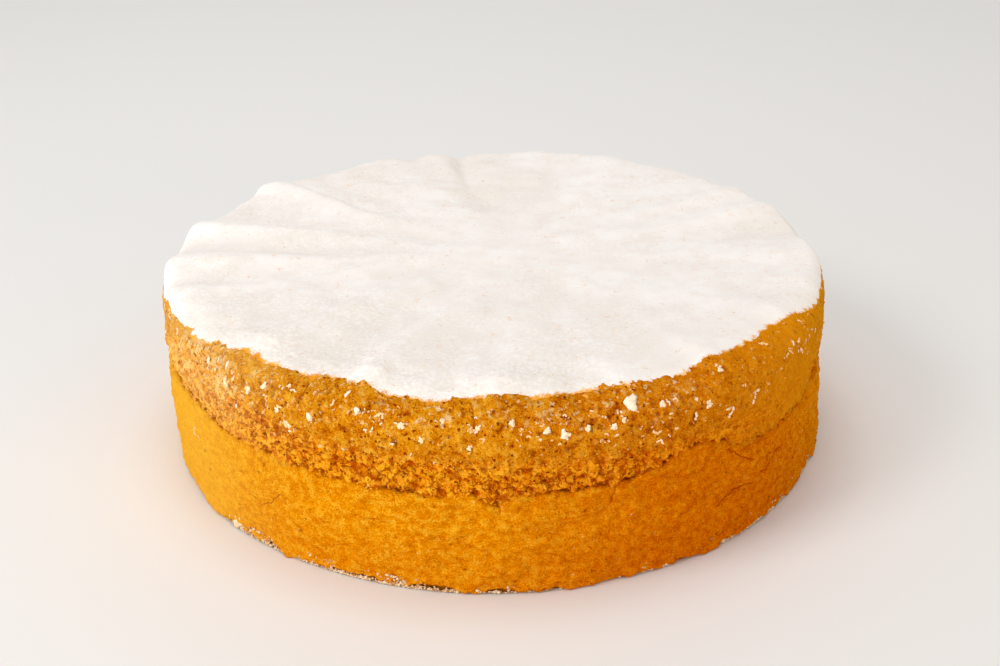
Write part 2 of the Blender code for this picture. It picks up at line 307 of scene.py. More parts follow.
def crumb_relief(points):
    """Height of the bare crumb's surface over its plain form, and the shares of a pit and of a crag there.

    Lumps, torn crumb and grains, all coarser in the open crumb, less the pits, which are torn hollows,
    bubbles and the single holes. Under the powder and behind the skin it fades out.
    """
    bearing = bearing_of(points)
    height = points[..., 2]
    coarse = open_crumb(bearing, height)
    rough = torn(points, 2.4 * MM, 3)
    hollow = smooth_step(0.1, 0.55, -rough) * 1.2 * MM * coarse
    few = smooth_step(0.4, 0.75, torn(points, 2.2 * MM, 13)) * 0.9 * MM * (1 - coarse)
    wide = bubbles(points, 2.8 * MM, 0.25, 0.5 * MM, 1.3 * MM, 11) * coarse
    rare = bubbles(points, 4.0 * MM, 0.5, 0.4 * MM, 1.1 * MM, 23) * (1 - coarse)
    pits = np.maximum.reduce([hollow, few, wide, rare]) * calmness(bearing)
    for degrees, level, radius, depth in HOLES:
        off = np.hypot(turn_from(degrees, bearing) * CAKE_RADIUS, height - level * MM)
        pits = np.maximum(pits, depth * MM * bump(off, 0, radius * MM))
    lumps = 0.35 * clouds(points, 7 * MM, 5) + (0.2 + 0.8 * coarse) * np.maximum(rough, -0.3)
    grain = (0.2 + 0.55 * coarse) * (grains(points, 1.9 * MM, 7) - 0.5)
    under_sugar = smooth_step(CREST - 3 * MM, CREST + 3 * MM, distance_out(points))
    relief = (lumps + grain) * calmness(bearing) * MM - pits
    relief = relief - crack_depth(bearing, height) - 0.4 * MM * coarse * calmness(bearing)
    under_edge = smooth_step(3 * MM, 7 * MM, ledge_height(bearing) - height)
    behind_skin = smooth_step(2 * MM, 4 * MM, height) * under_edge
    relief = relief * under_sugar * (1 - behind_skin) * smooth_step(0, 2 * MM, height)
    crag = np.clip(rough * (0.35 + 0.65 * coarse) * calmness(bearing), 0, 1)
    return relief - (0.15 + 1.2 * behind_skin) * MM, np.clip(pits / (1.0 * MM), 0, 1), crag


def dusting(points, upward):
    """Share of fine sugar: most on what faces up below the powder's edge, and left of the front."""
    bearing = bearing_of(points)
    band = smooth_step(47 * MM, 62 * MM, points[:, 2]) * (1 - 0.6 * near(-30, 25, bearing))
    drifts = 0.65 + 0.5 * clouds(points, 6 * MM, 103)
    left = 0.65 * near(-146, 15, bearing) * smooth_step(42 * MM, 52 * MM, points[:, 2])
    spots = 1.0 * near(-148, 3, bearing) * bump(points[:, 2], 29 * MM, 4 * MM)
    return (band * (0.35 + 0.65 * smooth_step(0.1, 0.7, upward)) + left) * drifts + spots


def mark_piece(piece):
    """Keeps the numbers that the crust's materials read: cracks, how brown it baked together with painted
    side light and shade, smoothness and fine sugar.
    """
    points = points_of(piece)
    upward = np.empty(len(points) * 3, np.float32)
    piece.data.vertex_normals.foreach_get("vector", upward)
    bearing = bearing_of(points)
    off, strength = crack_marks(bearing, points[:, 2])
    store(piece, "crack_off", off / MM)
    store(piece, "crack", strength)
    # above 0 right of the front: the crust baked browner and has painted shade; below 0 at the left: painted
    # light from the side
    store(piece, "browned_and_side_shaded", near(-54, 33, bearing) - 0.5 * near(-156, 26, bearing))
    store(piece, "smooth", 1 - calmness(bearing))
    store(piece, "dust", dusting(points, upward.reshape(-1, 3)[:, 2]))


def round_bearings(count):
    """Bearings of a number of points, evenly round the cake."""
    return np.arange(count) * 2 * math.pi / count


def rings_of(surface, stations, relief=None):
    """Points ring by ring: a station is a place along the surface and how many points go round there."""
    rings = []
    for along, count in stations:
        bearing = round_bearings(count)
        points, normal = with_normals(surface, np.full(count, along), bearing)
        offset = relief(points) if relief else np.zeros(count)
        rings.append(points + normal * offset[:, None])
    return rings


def faces_between(upper, lower):
    """Faces that join two rings of point numbers, where one may have twice as many points as the other."""
    if len(upper) == len(lower):
        return [np.stack([upper, lower, np.roll(lower, -1), np.roll(upper, -1)], axis=1)]
    if len(upper) > len(lower):
        return [faces[:, ::-1] for faces in faces_between(lower, upper)]
    left, middle, right = lower[0::2], lower[1::2], np.roll(lower[0::2], -1)
    after = np.roll(upper, -1)
    return [np.stack(corners, axis=1) for corners in
            ((upper, left, middle), (upper, middle, after), (after, middle, right))]  # fmt: skip


def mesh_piece(name, points, faces, smooth=True):
    """A new object at the origin: its points in an array, its faces in arrays of 3 or 4 point numbers."""
    mesh = bpy.data.meshes.new(name)
    mesh.vertices.add(len(points))
    mesh.vertices.foreach_set("co", points.astype(np.float32).ravel())
    corners = np.concatenate([part.ravel() for part in faces])
    sides = np.concatenate([np.full(len(part), part.shape[1]) for part in faces])
    mesh.loops.add(len(corners))
    mesh.loops.foreach_set("vertex_index", corners.astype(np.int32))
    mesh.polygons.add(len(sides))
    mesh.polygons.foreach_set("loop_start", np.concatenate([[0], np.cumsum(sides)[:-1]]).astype(np.int32))
    mesh.update(calc_edges=True)
    if smooth:
        mesh.shade_smooth()
    piece = bpy.data.objects.new(name, mesh)
    bpy.context.scene.collection.objects.link(piece)
    return piece


def round_piece(name, rings, join_ends=False):
    """A closed piece over rings of points: its end rings close on their middles, or join each other."""
    counts = [len(ring) for ring in rings]
    starts = np.concatenate([[0], np.cumsum(counts)])
    numbers = [np.arange(start, start + count) for start, count in zip(starts, counts)]
    faces = [part for pair in zip(numbers[:-1], numbers[1:]) for part in faces_between(*pair)]
    points = np.concatenate(rings)
    if join_ends:
        faces += faces_between(numbers[-1], numbers[0])
    else:
        first, last = numbers[0], numbers[-1]
        top, base = np.full_like(first, starts[-1]), np.full_like(last, starts[-1] + 1)
        faces.append(np.stack([top, first, np.roll(first, -1)], axis=1))
        faces.append(np.stack([base, np.roll(last, -1), last], axis=1))
        points = np.concatenate([points, rings[0].mean(0)[None], rings[-1].mean(0)[None]])
    return mesh_piece(name, points, faces)


def store(piece, name, values):
    """Keeps one number for each point of a piece, which its material reads by name."""
    piece.data.attributes.new(name, "FLOAT", "POINT").data.foreach_set("value", values.astype(np.float32))


def points_of(piece):
    """The piece's points as an array."""
    points = np.empty(len(piece.data.vertices) * 3, np.float32)
    piece.data.vertices.foreach_get("co", points)
    return points.reshape(-1, 3).astype(float)


def add_node(tree, kind, inputs=None, **settings):
    """A shader node with its settings, and a value or a link for each input, by its name or number."""
    made = tree.nodes.new("ShaderNode" + kind)
    for key, value in settings.items():
        setattr(made, key, value)
    for key, value in (inputs or {}).items():
        if isinstance(value, bpy.types.NodeSocket):
            tree.links.new(value, made.inputs[key])
        else:
            made.inputs[key].default_value = value
    return made


def mixed(share, first, second, blend="MIX"):
    """Colour between first and second, which are sockets or red, green and blue, by share."""
    first, second = (c if isinstance(c, bpy.types.NodeSocket) else (*c, 1.0) for c in (first, second))
    inputs = {0: share, 6: first, 7: second}
    return add_node(share.id_data, "Mix", inputs, data_type="RGBA", blend_type=blend).outputs[2]


def ranged(value, low, high, to_low=0.0, to_high=1.0):
    """Value taken from the range low..high to the range to_low..to_high, smoothly and clamped."""
    inputs = {"Value": value, "From Min": low, "From Max": high, "To Min": to_low, "To Max": to_high}
    return add_node(value.id_data, "MapRange", inputs, interpolation_type="SMOOTHSTEP").outputs[0]


def calc(first, second, operation="MULTIPLY"):
    """The product of two values, or the result of another of the Math node's operations."""
    owner = first if isinstance(first, bpy.types.NodeSocket) else second
    return add_node(owner.id_data, "Math", {0: first, 1: second}, operation=operation).outputs[0]


def noise(where, scale, detail, roughness=0.5):
    """Soft noise from 0 to 1: its scale in cells to a metre, and how much finer noise is added."""
    inputs = {"Vector": where, "Scale": scale, "Detail": detail, "Roughness": roughness}
    return add_node(where.id_data, "TexNoise", inputs).outputs[0]


def shared_effect(name, values, outputs):
    """An empty node group with float inputs that have defaults, a Vector input, and float outputs."""
    group = bpy.data.node_groups.new(name, "ShaderNodeTree")
    group.interface.new_socket("Vector", in_out="INPUT", socket_type="NodeSocketVector")
    for key, value in values.items():
        group.interface.new_socket(key, in_out="INPUT", socket_type="NodeSocketFloat").default_value = value
    for key in outputs:
        group.interface.new_socket(key, in_out="OUTPUT", socket_type="NodeSocketFloat")
    return group, group.nodes.new("NodeGroupInput"), group.nodes.new("NodeGroupOutput")


# fine bubbles: dark dots of drawn size, each the middle of a cell
pin_defaults = {"Scale": 600.0, "Share": 0.4, "Radius": 0.35}
pinholes, pin_in, pin_out = shared_effect("pinholes", pin_defaults, ["Mask"])
pin_at, pin_scale = pin_in.outputs["Vector"], pin_in.outputs["Scale"]
pin_bend = add_node(pinholes, "TexNoise", {"Vector": pin_at, "Scale": 800.0, "Detail": 2.0}).outputs[1]
pin_shift = add_node(pinholes, "VectorMath", {0: pin_bend, 1: (0.5, 0.5, 0.5)}, operation="SUBTRACT")
pin_small = add_node(pinholes, "VectorMath", {0: pin_shift.outputs[0], "Scale": 0.0016}, operation="SCALE")
pin_where = add_node(pinholes, "VectorMath", {0: pin_small.outputs[0], 1: pin_at})
pin_cells = add_node(pinholes, "TexVoronoi", {"Vector": pin_where.outputs[0], "Scale": pin_scale})
pin_luck = add_node(pinholes, "SeparateColor", {0: pin_cells.outputs["Color"]})
pin_reach = calc(pin_in.outputs["Radius"], pin_luck.outputs[1])
pin_dot = calc(calc(pin_reach, pin_cells.outputs["Distance"], "SUBTRACT"), 9.0)
pin_there = calc(pin_luck.outputs[0], pin_in.outputs["Share"], "LESS_THAN")
pin_mask = add_node(pinholes, "Clamp", {0: calc(pin_dot, pin_there)})
pinholes.links.new(pin_mask.outputs[0], pin_out.inputs["Mask"])

# fine grain: two sizes of noise added, about zero
grain, grain_in, grain_out = shared_effect("grain", {"Scale": 900.0, "Coarse": 0.5}, ["Value"])
grain_where, grain_scale = grain_in.outputs["Vector"], grain_in.outputs["Scale"]
grain_fine = noise(grain_where, grain_scale, 3.0, 0.65)
grain_wide = noise(grain_where, calc(grain_scale, 0.22), 2.0)
grain_sum = add_node(grain, "Mix", {0: grain_in.outputs["Coarse"], 2: grain_fine, 3: grain_wide})
grain.links.new(calc(grain_sum.outputs[0], 0.5, "SUBTRACT"), grain_out.inputs["Value"])


def with_effect(effect, where, **values):
    """A shared effect placed in a material with its own values."""
    return add_node(where.id_data, "Group", {"Vector": where, **values}, node_tree=effect).outputs[0]


def new_material(name, roughness=0.95):
    """A material without gloss, its node tree and shader, and the object's own coordinates in metres."""
    material = bpy.data.materials.new(name)
    material.use_nodes = True
    tree = material.node_tree
    shader = tree.nodes["Principled BSDF"]
    shader.inputs["Roughness"].default_value = roughness
    shader.inputs["Specular IOR Level"].default_value = 0.0
    return material, tree, shader, add_node(tree, "TexCoord").outputs["Object"]


def read(tree, name):
    """The number that store() kept."""
    return add_node(tree, "Attribute", attribute_name=name).outputs["Fac"]


def crack_shade_line(where):
    """Share of a thin line of painted shade along the cracks: 1 near zero distance, its width uneven."""
    tree = where.id_data
    uneven = with_effect(grain, where, Scale=900.0, Coarse=0.4)
    off = calc(read(tree, "crack_off"), calc(uneven, 1.2), "ADD")
    distance = add_node(tree, "Math", {0: off}, operation="ABSOLUTE").outputs[0]
    return calc(ranged(distance, 0.12, 0.45, 1.0, 0.0), read(tree, "crack"))


def fleck_share(where):
    """Share of fine white flecks: where noise with the piece's dusting added is over a level."""
    more = calc(read(where.id_data, "dust"), 0.17)
    return ranged(calc(noise(where, 560.0, 3.0), more, "ADD"), 0.71, 0.79)


def finish_look(shader, colour, height=None, depth=None, strength=1.0):
    """Gives a material's shader its colour and, where there is a height, bump of that depth in metres."""
    tree = colour.id_data
    tree.links.new(colour, shader.inputs["Base Color"])
    if height is not None:
        bumpy = add_node(tree, "Bump", {"Height": height, "Strength": strength, "Distance": depth})
        tree.links.new(bumpy.outputs[0], shader.inputs["Normal"])


COLUMNS = 1248  # points round the finest rings
CRUMB_STEP = 0.66 * MM
crumb_low = BASE_START - 31.5 * MM  # just under the lowest place of the skin's edge
crumb_rows = np.arange(CREST - 1 * MM, crumb_low, CRUMB_STEP)
# rings that don't show: millimetres along the surface, and how many times fewer points go round
hidden_top = [(2, 16), (20, 16), (40, 8), (65, 8), (88, 4), (102, 2), (110, 2)]
hidden_low = [(6, 2), (14, 4), (30.6, 4), (31.9, 4), (60, 8), (100, 16), (150, 16)]
stations = [(millimetres * MM, COLUMNS // fewer) for millimetres, fewer in hidden_top]
stations += [(along, COLUMNS) for along in crumb_rows]
stations += [(crumb_low + millimetres * MM, COLUMNS // fewer) for millimetres, fewer in hidden_low]
crumb_rings = rings_of(sponge_point, stations, lambda points: crumb_relief(points)[0])
sponge = round_piece("sponge_crumb", crumb_rings)

plain = points_of(sponge)
plain_bearing = bearing_of(plain)
_, pit, crag = crumb_relief(plain)
store(sponge, "pit", pit)
store(sponge, "crag", crag)
store(sponge, "open", open_crumb(plain_bearing, plain[:, 2]) * calmness(plain_bearing))
mark_piece(sponge)

# brown where the oven toasted it, orange in the open crumb, light on its crags, partly a painted highlight,
# and dark in the pits, holes and cracks, which is painted shade
crumb_material, tree, shader, where = new_material("crumb")
patches = noise(where, 130.0, 4.0)
speckle = with_effect(grain, where, Scale=1700.0, Coarse=0.45)
browning_and_side_light, openness = read(tree, "browned_and_side_shaded"), read(tree, "open")
toasted = mixed(ranged(patches, 0.38, 0.66), (0.76, 0.245, 0.002), (0.91, 0.345, 0.006))
opened = mixed(ranged(patches, 0.38, 0.66), (0.77, 0.203, 0.0), (0.89, 0.297, 0.001))
colour = mixed(openness, toasted, opened)
# more pale on the crags: partly the crumb's own pale tips, partly a painted highlight
raised = mixed(ranged(read(tree, "crag"), 0.08, 0.5, 0.0, 0.75), colour, (1.0, 0.5, 0.012))
# granules: a painted highlight on their middles and painted shade in the rims between them
granules = add_node(tree, "TexVoronoi", {"Vector": where, "Scale": 560.0}).outputs["Distance"]
cells = calc(ranged(granules, 0.55, 0.8, 0.0, 0.8), openness)
knobs = calc(ranged(granules, 0.22, 0.5, 0.7, 0.0), openness)
# more light on the fine grain's raised bits and dim in its low ones: a painted highlight and painted shade
# over the grain's own tone
light = mixed(ranged(speckle, 0.0, 0.11, 0.0, 0.85), raised, (1.0, 0.51, 0.04))
light = mixed(knobs, light, (0.91, 0.38, 0.02))
dark = mixed(ranged(speckle, -0.13, -0.01, 0.85, 0.0), light, (0.46, 0.07, 0.0))
# painted shade in the bubble holes and between the granules
few_holes = with_effect(pinholes, where, Scale=700.0, Share=0.4, Radius=0.44)
holes = calc(few_holes, cells, "MAXIMUM")
holes_shaded = mixed(calc(holes, 0.95), dark, (0.34, 0.034, 0.0))
# painted shade in the pits of the relief, less of it on the left
pit_share = ranged(read(tree, "pit"), 0.12, 0.85, 0.0, 0.7)
# the left side is painted as lit, so its pits get less painted shade
lit_side = ranged(browning_and_side_light, -0.5, 0.0, 0.4, 1.0)
pit_shaded = mixed(calc(pit_share, lit_side), holes_shaded, (0.48, 0.062, 0.0))
# painted shade along the cracks
crack_shaded = mixed(calc(crack_shade_line(where), 0.8), pit_shaded, (0.4, 0.045, 0.0))
smooth = mixed(calc(read(tree, "smooth"), 0.9), crack_shaded, (1.0, 0.42, 0.008))
# browner right of the front, partly real and partly painted shade, and more pale at the left, which is
# painted light
browned_and_side_shaded = mixed(ranged(browning_and_side_light, 0.0, 1.0, 0.0, 0.6), smooth, (0.98, 0.68, 0.35), "MULTIPLY")
paler_lit_side = mixed(ranged(browning_and_side_light, -0.5, 0.0, 0.52, 0.0), browned_and_side_shaded, (1.0, 0.56, 0.13))
caught = calc(ranged(read(tree, "crag"), 0.08, 0.36), read(tree, "dust"))
creamy = mixed(calc(caught, 0.8), paler_lit_side, (1.0, 0.65, 0.25))
# dim towards the foot, where the crumb shows in the gaps under the skin: partly toasting, partly painted
# shade
low = add_node(tree, "SeparateXYZ", {0: where}).outputs[2]
toasted_and_shaded_foot = mixed(ranged(low, 0.003, 0.009, 0.75, 0.0), creamy, (0.22, 0.05, 0.002))
dusted = mixed(calc(fleck_share(where), 0.9), toasted_and_shaded_foot, (0.98, 0.64, 0.3))
height = calc(calc(speckle, calc(holes, -0.35), "ADD"), ranged(openness, 0, 1, 1, 0.45))
finish_look(shader, dusted, height, 2.6 * MM)
sponge.data.materials.append(crumb_material)
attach(sponge, "root")
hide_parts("sponge")


# -------------------- the skin
# The lower side's own baked skin, under a millimetre thick, smooth and felt-like because it set against the
# tin. It ends in a torn, ragged edge where the rest came away, and is wrinkled and cracked in a few places.

SKIN_THICKNESS = 0.9 * MM
SKIN_STEP = 0.68 * MM


def on_rim(bearing, height=0.0):
    """Points on a plain circle of the cake's radius."""
    x, y = CAKE_RADIUS * np.cos(bearing), CAKE_RADIUS * np.sin(bearing)
    return np.stack([x, y, np.full_like(bearing, height)], axis=-1)


def ragged_ledge(bearing):
    """The torn edge: the skin's height plus noise of three sizes along the cake's rim."""
    rim = on_rim(bearing)
    tear = 1.1 * clouds(rim, 9 * MM, 31) + 0.9 * clouds(rim, 3.5 * MM, 33) + 0.5 * clouds(rim, 1.4 * MM, 35)
    return ledge_height(bearing) + tear * MM


def ragged_foot(bearing):
    """The skin's lower edge, which is torn off the base in places, most left of the front."""
    rim = on_rim(bearing, 1.0)
    gaps = 2.4 * np.clip(clouds(rim, 9 * MM, 41) + 0.45 * near(-100, 14, bearing), 0, 1)
    nicks = 1.6 * np.clip(clouds(rim, 2.6 * MM, 43), 0, 1) + 0.5 * np.clip(clouds(rim, 1.2 * MM, 45), 0, 1)
    return (0.5 + gaps + nicks) * MM


def skin_point(share, bearing):
    """Outside of the skin, from its torn edge at share 0 to its foot at share 1."""
    height = ragged_ledge(bearing) * (1 - share) + ragged_foot(bearing) * share
    edge = bump(height, ragged_ledge(bearing), 1.2 * MM)
    thin = 1 - 0.55 * edge - 0.35 * near(-140, 18, bearing) * smooth_step(25 * MM, 38 * MM, height)
    return place(side_radius(height) + SKIN_THICKNESS * thin, bearing, height)


def skin_relief(points):
    """Height of the skin's surface: wrinkles, soft swells and a felt-like nap, less pits and cracks."""
    bearing = bearing_of(points)
    slope = points[..., 2] - 14 * MM * np.sin(2 * bearing + 2.0)
    slanted = np.stack([points[..., 0] / 6, points[..., 1] / 6, slope], axis=-1)
    wrinkles = (0.45 + 0.1 * near(-38, 30, bearing)) * clouds(slanted, 2.4 * MM, 61)
    swells = 0.35 * clouds(points, 13 * MM, 63) + 0.55 * clouds(points, 5 * MM, 65)
    nap = 0.5 * clouds(points, 2.4 * MM, 67) + 0.8 * (grains(points, 1.9 * MM, 69) - 0.5)
    pits = bubbles(points, 4.2 * MM, 0.35, 0.35 * MM, 0.9 * MM, 71)
    return (wrinkles + swells + nap) * MM - 0.8 * pits - crack_depth(bearing, points[..., 2])


skin_rows = int(LEDGE_HEIGHT / SKIN_STEP)
skin_stations = [(row / skin_rows, COLUMNS) for row in range(1, skin_rows + 1)]
skin_outside = rings_of(skin_point, skin_stations, skin_relief)


def skin_back(height, depth, count):
    """A ring behind the skin: a depth inside the bare crumb's plain surface."""
    bearing = round_bearings(count)
    return place(side_radius(height(bearing)) - depth, bearing, height(bearing))


skin_inside = [
    skin_back(lambda b: np.maximum(ragged_foot(b) * 0.5, 0.05 * MM), 0.6 * MM, COLUMNS),
    skin_back(lambda b: 4 * MM + 0 * b, 1.5 * MM, COLUMNS // 2),
    skin_back(lambda b: LEDGE_HEIGHT - 9 * MM + 0 * b, 1.8 * MM, COLUMNS // 2),
    skin_back(lambda b: ragged_ledge(b) - 2.5 * MM, 1.6 * MM, COLUMNS),
    skin_back(lambda b: ragged_ledge(b) + 0.4 * MM, 0.9 * MM, COLUMNS),
]
skin = round_piece("lower_skin", skin_outside + skin_inside, join_ends=True)
mark_piece(skin)

skin_material, tree, shader, where = new_material("skin")
flatter = add_node(tree, "Mapping", {0: where, 2: (0.0, 0.14, 0.0), 3: (0.4, 0.4, 1.0)}).outputs[0]
patches = noise(flatter, 190.0, 6.0, 0.7)
streaked = add_node(tree, "Mapping", {0: where, 3: (1.0, 1.0, 1.3)}).outputs[0]
nap = with_effect(grain, streaked, Scale=1600.0, Coarse=0.38)
colour = mixed(ranged(patches, 0.36, 0.64), (0.86, 0.284, 0.0), (0.94, 0.345, 0.0))
# pale highlights on the nap's raised bits and dim in its low ones: a painted highlight and painted shade
# over the felt's own tone
nap_highlight = mixed(ranged(nap, 0.0, 0.1, 0.0, 0.72), colour, (1.0, 0.56, 0.04))
nap_shade = mixed(ranged(nap, -0.1, 0.0, 0.62, 0.0), nap_highlight, (0.6, 0.122, 0.0))
holes = with_effect(pinholes, where, Scale=420.0, Share=0.25, Radius=0.3)
# painted shade in the skin's pinholes
holes_shaded = mixed(calc(holes, 0.6), nap_shade, (0.5, 0.08, 0.0))
# painted shade along the cracks
crack_shaded = mixed(calc(crack_shade_line(where), 0.8), holes_shaded, (0.5, 0.06, 0.0))
low = add_node(tree, "SeparateXYZ", {0: where}).outputs[2]
shaded = mixed(ranged(low, 0.002, 0.034, 0.5, 0.0), crack_shaded, (0.88, 0.72, 0.5), "MULTIPLY")
browning_and_side_light = read(tree, "browned_and_side_shaded")
# browner right of the front, partly real and partly painted shade, and more pale at the left, which is
# painted light
browned_and_side_shaded = mixed(ranged(browning_and_side_light, 0.0, 1.0), shaded, (0.92, 0.63, 0.15), "MULTIPLY")
paler_lit_side = mixed(ranged(browning_and_side_light, -0.5, 0.0, 0.6, 0.0), browned_and_side_shaded, (1.0, 0.55, 0.05))
dusted = mixed(calc(fleck_share(where), 0.8), paler_lit_side, (0.97, 0.66, 0.34))
finish_look(shader, dusted, calc(nap, calc(holes, -0.5), "ADD"), 1.8 * MM)
skin.data.materials.append(skin_material)
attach(skin, "root")
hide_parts("sponge")


# -------------------- the icing sugar
# Icing sugar sieved over the top until it covers it, about a millimetre deep. It partly fills the valleys
# between the folds, lies rougher at the front, and thins out in specks over the shoulder.

SUGAR_REACH = 118.2 * MM  # from the middle of the top, along the surface, to the edge at the front
SUGAR_REACH_MORE = 12.0 * MM  # how much further down the shoulder it comes at the sides and the back
SUGAR_TURNS = (math.radians(45), math.radians(85))  # from the front, between which it comes further down
SUGAR_PAST = 5.0 * MM  # the specks' zone


def sugar_reach(bearing):
    """Distance along the surface from the middle of the top to the sugar's edge: least at the front."""
    turn = np.abs(turn_from(-86, bearing))
    waves = 1.3 * np.sin(9 * bearing - 1.26) + 0.5 * np.sin(17 * bearing + 1.7)
    return SUGAR_REACH + SUGAR_REACH_MORE * smooth_step(*SUGAR_TURNS, turn) + waves * MM


def sugar_inside(along, bearing, points):
    """Distance in millimetres inside the sugar's edge, which noise makes ragged, least at the front."""
    loose = 0.5 + 0.7 * near(-155, 30, bearing) + 0.5 * near(-35, 25, bearing) + 0.4 * near(80, 70, bearing)
    ragged = 0.9 * clouds(points, 6 * MM, 81) + 0.9 * clouds(points, 2.4 * MM, 83)
    ragged += 0.6 * clouds(points, 1.3 * MM, 85)
    return (sugar_reach(bearing) + loose * ragged * MM - along) / MM


def sugar_depth(inside):
    """Height of the powder over the crust: it thins towards its edge and sinks into the crust past it."""
    return np.interp(inside, [-6, -2, 0, 3, 8], [-1.0, -0.65, -0.05, 0.45, 1.1]) * MM


def pebbliness(points):
    """How rough the powder lies: in patches, more at the front and left, and less on the ridges' tops."""
    lift = folded(points[..., 0], points[..., 1])
    front = 0.5 * smooth_step(20 * MM, 95 * MM, -points[..., 1])
    front *= 1 - smooth_step(0, 70 * MM, points[..., 0])
    left = 0.22 * smooth_step(0, 90 * MM, -points[..., 0])
    patches = 0.24 + 0.35 * clouds(points, 15 * MM, 94) - 0.15 * np.clip(lift / (1.5 * MM), -1, 1)
    return np.clip(patches + front + left, 0.05, 1)


def sugar_rays(points):
    """Low waves drawn out from the middle, -1 to 1: noise of the direction and, slower, the distance."""
    out = distance_out(points)
    ray = points / np.maximum(out, 1 * MM)[..., None] * 22 * MM
    drawn_out = np.stack([ray[..., 0], ray[..., 1], 0.16 * out], axis=-1)
    return clouds(drawn_out, 6 * MM, 92) * smooth_step(10 * MM, 40 * MM, out)


def sugar_texture(points):
    """Unevenness of the powder: low mounds drawn out along the folds, soft clumps and pebbles."""
    calm = 1 - 0.7 * smooth_step(15 * MM, 90 * MM, points[..., 0])
    rays = 0.8 * sugar_rays(points) * calm
    mounds = (0.9 * clouds(points, 14 * MM, 91) + 0.5 * clouds(points, 6.5 * MM, 93)) * calm
    clumps = 0.16 * clouds(points, 3 * MM, 95) + 0.24 * (grains(points, 2.1 * MM, 97) - 0.5)
    return (mounds + rays + clumps * pebbliness(points)) * MM


def sugar_ring(along_at, count):
    """A ring of the coat's outside: the crust's surface, at a distance by bearing, and the powder over it.

    The powder's depth, a part of each valley's depth that it fills, and its texture, all fading at its edge.
    """
    bearing = round_bearings(count)
    along = along_at(bearing)
    points, normal = with_normals(sponge_point, along, bearing)
    inside = sugar_inside(along, bearing, points)
    filling = 0.32 + 0.22 * smooth_step(20 * MM, 80 * MM, points[:, 0])
    filling += 0.15 * smooth_step(50 * MM, 110 * MM, points[:, 1] - points[:, 0])
    level = np.clip(-filling * folded(points[:, 0], points[:, 1]), -0.5 * MM, 1.1 * MM)
    level *= 1 - smooth_step(84 * MM, 112 * MM, distance_out(points))
    covered = smooth_step(0, 8, inside)
    off = sugar_depth(inside) + (level + sugar_texture(points)) * covered
    off = np.where(off < 0.25 * MM, off + (0.25 * MM - off) * covered, off)
    insides.append(inside)
    return points + normal * off[:, None]


SUGAR_STEP = 0.95  # millimetres
SUGAR_INNER = 104 * MM
EDGE_ROWS = 32
insides = []
sugar_rings = []
for start, end, fewer in ((1.0, 29.5, 8), (30.0, 59.5, 4), (60.0, 104.0, 2)):
    for out in np.arange(start, end, SUGAR_STEP) * MM:
        sugar_rings.append(sugar_ring(lambda b, out=out: np.full_like(b, out), COLUMNS // fewer))
for share in np.arange(EDGE_ROWS + 1) / EDGE_ROWS:
    sugar_rings.append(sugar_ring(
        lambda b, share=share: SUGAR_INNER + (sugar_reach(b) + SUGAR_PAST - SUGAR_INNER) * share, COLUMNS
    ))  # fmt: skip


def under_ring(along_at, count):
    """A ring of the coat's underside, just inside the crust."""
    bearing = round_bearings(count)
    points, normal = with_normals(sponge_point, along_at(bearing), bearing)
    insides.append(np.full(count, -9.0))
    return points - normal * 1.2 * MM


sugar_rings.append(under_ring(lambda b: sugar_reach(b) + SUGAR_PAST - 0.5 * MM, COLUMNS))
for out, fewer in ((112 * MM, 2), (90 * MM, 4), (50 * MM, 8), (2 * MM, 8)):
    sugar_rings.append(under_ring(lambda b, out=out: np.full_like(b, out), COLUMNS // fewer))
sugar = round_piece("icing_sugar_coat", sugar_rings)

sugar_points = points_of(sugar)
# share of a greyer tint in the valleys and low parts: partly the thinner, damp sugar there, partly painted
# shade
raised = folded(sugar_points[:, 0], sugar_points[:, 1]) / (3 * MM) + 0.9 * sugar_rays(sugar_points)
store(sugar, "valley", np.clip(0.35 - raised + 0.4 * clouds(sugar_points, 7 * MM, 98), 0, 1))
store(sugar, "inside", np.concatenate([*insides, [9.0, 9.0]]))
store(sugar, "pebbly", pebbliness(sugar_points))

sugar_material, tree, shader, where = new_material("icing_sugar_powder")
patches = noise(where, 110.0, 4.0, 0.6)
powder = with_effect(grain, where, Scale=1500.0, Coarse=0.4)
# rounded cells over a millimetre across, highest in their middles
cell_inputs = {"Vector": where, "Scale": 620.0, "Smoothness": 0.6}
rounded = add_node(tree, "TexVoronoi", cell_inputs, feature="SMOOTH_F1")
pebble = calc(0.6, rounded.outputs["Distance"], "SUBTRACT")
colour = mixed(ranged(patches, 0.42, 0.66, 0.0, 0.6), (0.92, 0.88, 0.855), (0.86, 0.8, 0.755))
# greyer in the valleys: partly the sugar's own tint, partly painted shade
valley = mixed(calc(read(tree, "valley"), 0.6), colour, (0.84, 0.78, 0.73))
rough = read(tree, "pebbly")
# painted shade in the gaps between the pebbles and in the powder's low grain
gaps = mixed(calc(ranged(pebble, 0.0, 0.34, 0.5, 0.0), rough), valley, (0.77, 0.69, 0.62))
grain_shaded = mixed(calc(ranged(powder, -0.22, -0.04, 0.7, 0.0), rough), gaps, (0.77, 0.69, 0.61))
holes = with_effect(pinholes, where, Scale=120.0, Share=0.014, Radius=0.15)
dots = mixed(calc(holes, 0.45), grain_shaded, (0.62, 0.48, 0.34))
bare = calc(ranged(read(tree, "inside"), -2.2, 1.8, 1.0, 0.0), calc(powder, 2.6), "SUBTRACT")
crust_tint = mixed(ranged(patches, 0.42, 0.6), (0.72, 0.265, 0.015), (0.88, 0.39, 0.05))
dotted = mixed(ranged(bare, 0.15, 0.75), dots, crust_tint)
height = calc(calc(powder, calc(pebble, 0.9), "ADD"), ranged(rough, 0.0, 1.0, 0.1, 1.0))
finish_look(shader, dotted, height, 0.3 * MM, strength=0.8)
sugar.data.materials.append(sugar_material)
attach(sugar, "root")
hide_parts("icing_sugar")


# -------------------- flecks of sugar on the side
# Powder that slid off the edge and caught on the rough crumb below it, as small clumps and short streaks.

LUMP_POINTS = 12


